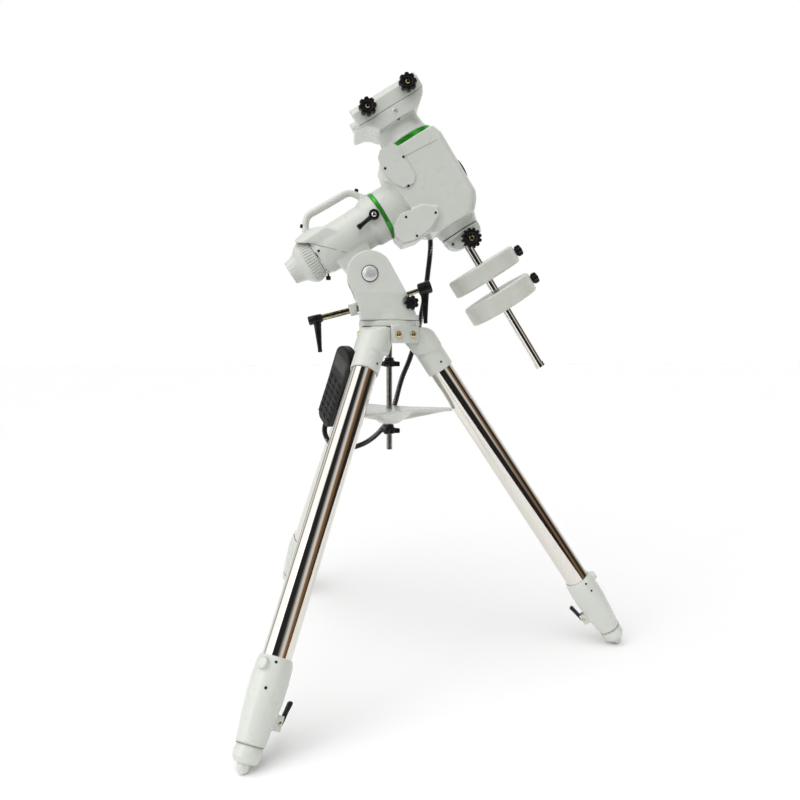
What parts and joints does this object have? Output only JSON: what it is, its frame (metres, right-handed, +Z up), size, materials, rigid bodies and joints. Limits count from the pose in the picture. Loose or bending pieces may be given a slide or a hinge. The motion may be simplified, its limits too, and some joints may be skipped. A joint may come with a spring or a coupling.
{
  "type": "equatorial telescope mount",
  "caption": "German equatorial telescope mount on a folding steel-legged tripod, with dovetail saddle, counterweight bar, azimuth and altitude adjusters and a wired hand controller.",
  "frame": {"origin": "where the tripod's vertical centre line meets the floor that its three feet stand on", "axes": "+Z up along the tripod's centre line, +X north, the side that the polar axis rises towards and over which the north leg stands, +Y west"},
  "size_m": [0.7852, 0.8994, 1.1969],
  "materials": {
    "white_enamel": "aluminium castings under glossy off-white powder coat",
    "white_weight": "cast iron under glossy off-white enamel",
    "polished_steel": "polished, bright",
    "stainless_tube": "polished stainless tube, mirror-like along its length",
    "green_anodised": "green anodised, satin, metallic",
    "black_plastic": "moulded black plastic, fine texture",
    "handset_plastic": "moulded black plastic",
    "black_rubber": "soft black jacket",
    "bearing_steel": "ground steel",
    "bronze": "machined bronze",
    "motor_black": "black anodised motor cases and steel worms"
  },
  "bodies": {
    "tripod_head": {"tripod_head": "white_enamel", "hinge_bolts": "polished_steel", "centre_rod": "polished_steel", "controller_lead": "black_rubber"},
    "rod_knob": {"rod_knob": "black_plastic"},
    "accessory_tray": {"accessory_tray": "white_enamel"},
    "tray_knob": {"tray_knob": "black_plastic"},
    "azimuth_base": {"azimuth_fork": "white_enamel", "altitude_pivot": "polished_steel"},
    "azimuth_knob_near": {"azimuth_knob_near": "black_plastic"},
    "azimuth_knob_far": {"azimuth_knob_far": "black_plastic"},
    "rear_altitude_bolt": {"rear_altitude_bolt": "polished_steel"},
    "rear_bolt_handle": {"rear_bolt_handle": "black_plastic"},
    "front_altitude_bolt": {"front_altitude_bolt": "polished_steel"},
    "front_bolt_handle": {"front_bolt_handle": "black_plastic"},
    "polar_housing": {"ra_housing": "white_enamel", "carry_handle": "white_enamel", "ra_ring": "green_anodised", "ra_bearings": "bearing_steel", "ra_worm_wheel": "bronze"},
    "ra_clutch_lever": {"ra_clutch_lever": "black_plastic"},
    "polar_knob": {"polar_knob": "white_enamel"},
    "dec_head": {"dec_housing": "white_enamel", "motor_covers": "white_enamel", "ra_shaft": "bearing_steel", "drives": "motor_black", "front_cap": "black_plastic", "dec_ring": "green_anodised", "port_panel": "black_plastic", "lead_plug": "black_plastic"},
    "power_switch": {"power_switch": "black_plastic"},
    "dec_clutch_lever": {"dec_clutch_lever": "black_plastic"},
    "dec_axis": {"dec_shaft": "bearing_steel", "dec_worm_wheel": "bronze", "saddle": "white_enamel", "counterweight_bracket": "white_enamel"},
    "saddle_jaw": {"saddle_jaw": "white_enamel"},
    "saddle_knob_south": {"saddle_knob_south": "black_plastic"},
    "saddle_knob_north": {"saddle_knob_north": "black_plastic"},
    "shaft_lock_knob": {"shaft_lock_knob": "black_plastic"},
    "counterweight_bar": {"counterweight_bar": "polished_steel"},
    "weight_upper": {"weight_upper": "white_weight"},
    "weight_lower": {"weight_lower": "white_weight"},
    "weight_knob_upper": {"weight_knob_upper": "black_plastic"},
    "weight_knob_lower": {"weight_knob_lower": "black_plastic"},
    "handset_keys": {"handset_keys": "black_rubber"},
    "leg_north": {"leg_castings_north": "white_enamel", "leg_tube_north": "stainless_tube"},
    "lower_leg_north": {"lower_leg_north": "white_enamel"},
    "clamp_lever_north": {"clamp_lever_north": "black_plastic"},
    "leg_near": {"leg_castings_near": "white_enamel", "leg_tube_near": "stainless_tube"},
    "lower_leg_near": {"lower_leg_near": "white_enamel"},
    "clamp_lever_near": {"clamp_lever_near": "black_plastic"},
    "leg_far": {"leg_castings_far": "white_enamel", "leg_tube_far": "stainless_tube", "handset": "handset_plastic"},
    "lower_leg_far": {"lower_leg_far": "white_enamel"},
    "clamp_lever_far": {"clamp_lever_far": "black_plastic"}
  },
  "joints": [
    {"name": "azimuth_turn", "type": "hinge", "parent": "tripod_head", "child": "azimuth_base", "pos_m": [0, 0, 0.711], "axis": [0, 0, 1], "range_deg": [-7, 7]},
    {"name": "altitude_tilt", "type": "hinge", "parent": "azimuth_base", "child": "polar_housing", "pos_m": [-0.0416, 0, 0.802], "axis": [0, -1, 0], "range_deg": [-15, 31]},
    {"name": "ra_turn", "type": "hinge", "parent": "polar_housing", "child": "dec_head", "pos_m": [0.08786, 0, 0.98804], "axis": [0.848, 0, 0.5299], "continuous": true, "deforming": ["controller_lead"]},
    {"name": "dec_turn", "type": "hinge", "parent": "dec_head", "child": "dec_axis", "pos_m": [0.08786, 0, 0.98804], "axis": [-0.5299, 0, 0.848], "continuous": true},
    {"name": "ra_clutch", "type": "hinge", "parent": "polar_housing", "child": "ra_clutch_lever", "pos_m": [-0.03267, -0.051, 0.91862], "axis": [0, -1, 0], "range_deg": [0, 60]},
    {"name": "dec_clutch", "type": "hinge", "parent": "dec_head", "child": "dec_clutch_lever", "pos_m": [0.03359, 0.062, 1.04846], "axis": [0, 1, 0], "range_deg": [0, 60]},
    {"name": "polar_knob_turn", "type": "hinge", "parent": "polar_housing", "child": "polar_knob", "pos_m": [-0.16655, 0, 0.82906], "axis": [0.848, 0, 0.5299], "continuous": true},
    {"name": "power_switch_rock", "type": "hinge", "parent": "dec_head", "child": "power_switch", "pos_m": [0.12877, 0.06, 0.95465], "axis": [0.848, 0, 0.5299], "range_deg": [-8, 8]},
    {"name": "near_azimuth_knob_turn", "type": "hinge", "parent": "azimuth_base", "child": "azimuth_knob_near", "pos_m": [0.0408, -0.06, 0.745], "axis": [0, -1, 0], "continuous": true},
    {"name": "far_azimuth_knob_turn", "type": "hinge", "parent": "azimuth_base", "child": "azimuth_knob_far", "pos_m": [0.0408, 0.06, 0.745], "axis": [0, 1, 0], "continuous": true},
    {"name": "rear_bolt_advance", "type": "slide", "parent": "azimuth_base", "child": "rear_altitude_bolt", "axis": [0.9684, 0, 0.2495], "range_m": [-0.016, 0.036]},
    {"name": "front_bolt_advance", "type": "slide", "parent": "azimuth_base", "child": "front_altitude_bolt", "axis": [0.9461, 0, 0.324], "range_m": [-0.006, 0.015]},
    {"name": "rear_handle_turn", "type": "hinge", "parent": "rear_altitude_bolt", "child": "rear_bolt_handle", "pos_m": [-0.1498, 0, 0.7138], "axis": [0.9684, 0, 0.2495], "range_deg": [-70, 70]},
    {"name": "front_handle_turn", "type": "hinge", "parent": "front_altitude_bolt", "child": "front_bolt_handle", "pos_m": [0.074, 0, 0.7776], "axis": [-0.9461, 0, -0.324], "continuous": true},
    {"name": "jaw_slide", "type": "slide", "parent": "dec_axis", "child": "saddle_jaw", "axis": [0, 1, 0], "range_m": [-0.003, 0.009]},
    {"name": "south_saddle_knob_turn", "type": "hinge", "parent": "saddle_jaw", "child": "saddle_knob_south", "pos_m": [-0.0449, -0.07, 1.12087], "axis": [0, -1, 0], "continuous": true},
    {"name": "north_saddle_knob_turn", "type": "hinge", "parent": "saddle_jaw", "child": "saddle_knob_north", "pos_m": [0.03263, -0.07, 1.16814], "axis": [0, -1, 0], "continuous": true},
    {"name": "lock_knob_turn", "type": "hinge", "parent": "dec_axis", "child": "shaft_lock_knob", "pos_m": [0.16332, -0.045, 0.87482], "axis": [0, -1, 0], "continuous": true},
    {"name": "bar_retract", "type": "slide", "parent": "dec_axis", "child": "counterweight_bar", "axis": [-0.5299, 0, 0.848], "range_m": [0, 0.03]},
    {"name": "upper_weight_slide", "type": "slide", "parent": "counterweight_bar", "child": "weight_upper", "axis": [0.5299, 0, -0.848], "range_m": [-0.026, 0.026]},
    {"name": "lower_weight_slide", "type": "slide", "parent": "counterweight_bar", "child": "weight_lower", "axis": [0.5299, 0, -0.848], "range_m": [-0.026, 0.13]},
    {"name": "upper_weight_knob_turn", "type": "hinge", "parent": "weight_upper", "child": "weight_knob_upper", "pos_m": [0.27043, 0, 0.85627], "axis": [0.848, 0, 0.5299], "continuous": true},
    {"name": "lower_weight_knob_turn", "type": "hinge", "parent": "weight_lower", "child": "weight_knob_lower", "pos_m": [0.30567, 0, 0.79987], "axis": [0.848, 0, 0.5299], "continuous": true},
    {"name": "rod_knob_turn", "type": "hinge", "parent": "tripod_head", "child": "rod_knob", "pos_m": [0, 0, 0.624], "axis": [0, 0, 1], "continuous": true},
    {"name": "tray_drop", "type": "slide", "parent": "tripod_head", "child": "accessory_tray", "axis": [0, 0, -1], "range_m": [0, 0.3]},
    {"name": "tray_knob_turn", "type": "hinge", "parent": "accessory_tray", "child": "tray_knob", "pos_m": [0, 0, 0.483], "axis": [0, 0, 1], "continuous": true},
    {"name": "north_leg_fold", "type": "hinge", "parent": "tripod_head", "child": "leg_north", "pos_m": [0.041, 0, 0.682], "axis": [0, 1, 0], "range_deg": [0, 21]},
    {"name": "north_leg_extend", "type": "slide", "parent": "leg_north", "child": "lower_leg_north", "axis": [0.5505, 0, -0.8348], "range_m": [0, 0.5]},
    {"name": "north_clamp_swing", "type": "hinge", "parent": "leg_north", "child": "clamp_lever_north", "pos_m": [0.43439, 0.01771, 0.0518], "axis": [-0.379, -0.891, -0.2499], "range_deg": [0, 100]},
    {"name": "near_leg_fold", "type": "hinge", "parent": "tripod_head", "child": "leg_near", "pos_m": [-0.0205, -0.03551, 0.682], "axis": [0.866, -0.5, 0], "range_deg": [0, 21]},
    {"name": "near_leg_extend", "type": "slide", "parent": "leg_near", "child": "lower_leg_near", "axis": [-0.2752, -0.4767, -0.8348], "range_m": [0, 0.5]},
    {"name": "near_clamp_swing", "type": "hinge", "parent": "leg_near", "child": "clamp_lever_near", "pos_m": [-0.20186, -0.38505, 0.0518], "axis": [-0.5821, 0.7737, -0.2499], "range_deg": [0, 100]},
    {"name": "far_leg_fold", "type": "hinge", "parent": "tripod_head", "child": "leg_far", "pos_m": [-0.0205, 0.03551, 0.682], "axis": [-0.866, -0.5, 0], "range_deg": [0, 21]},
    {"name": "far_leg_extend", "type": "slide", "parent": "leg_far", "child": "lower_leg_far", "axis": [-0.2752, 0.4767, -0.8348], "range_m": [0, 0.5]},
    {"name": "far_clamp_swing", "type": "hinge", "parent": "leg_far", "child": "clamp_lever_far", "pos_m": [-0.23253, 0.36734, 0.0518], "axis": [0.9611, 0.1173, -0.2499], "range_deg": [0, 100]},
    {"name": "keys_press", "type": "slide", "parent": "leg_far", "child": "handset_keys", "axis": [0.866, 0.5, 0], "range_m": [0, 0.001], "stiffness_N_per_m": 300}
  ],
  "couplings": [
    {"joint": "north_leg_fold", "follows": "tray_drop", "rad_per_m": 1.19},
    {"joint": "near_leg_fold", "follows": "tray_drop", "rad_per_m": 1.19},
    {"joint": "far_leg_fold", "follows": "tray_drop", "rad_per_m": 1.19},
    {"joint": "rear_bolt_advance", "follows": "altitude_tilt", "m_per_rad": 0.054}
  ]
}
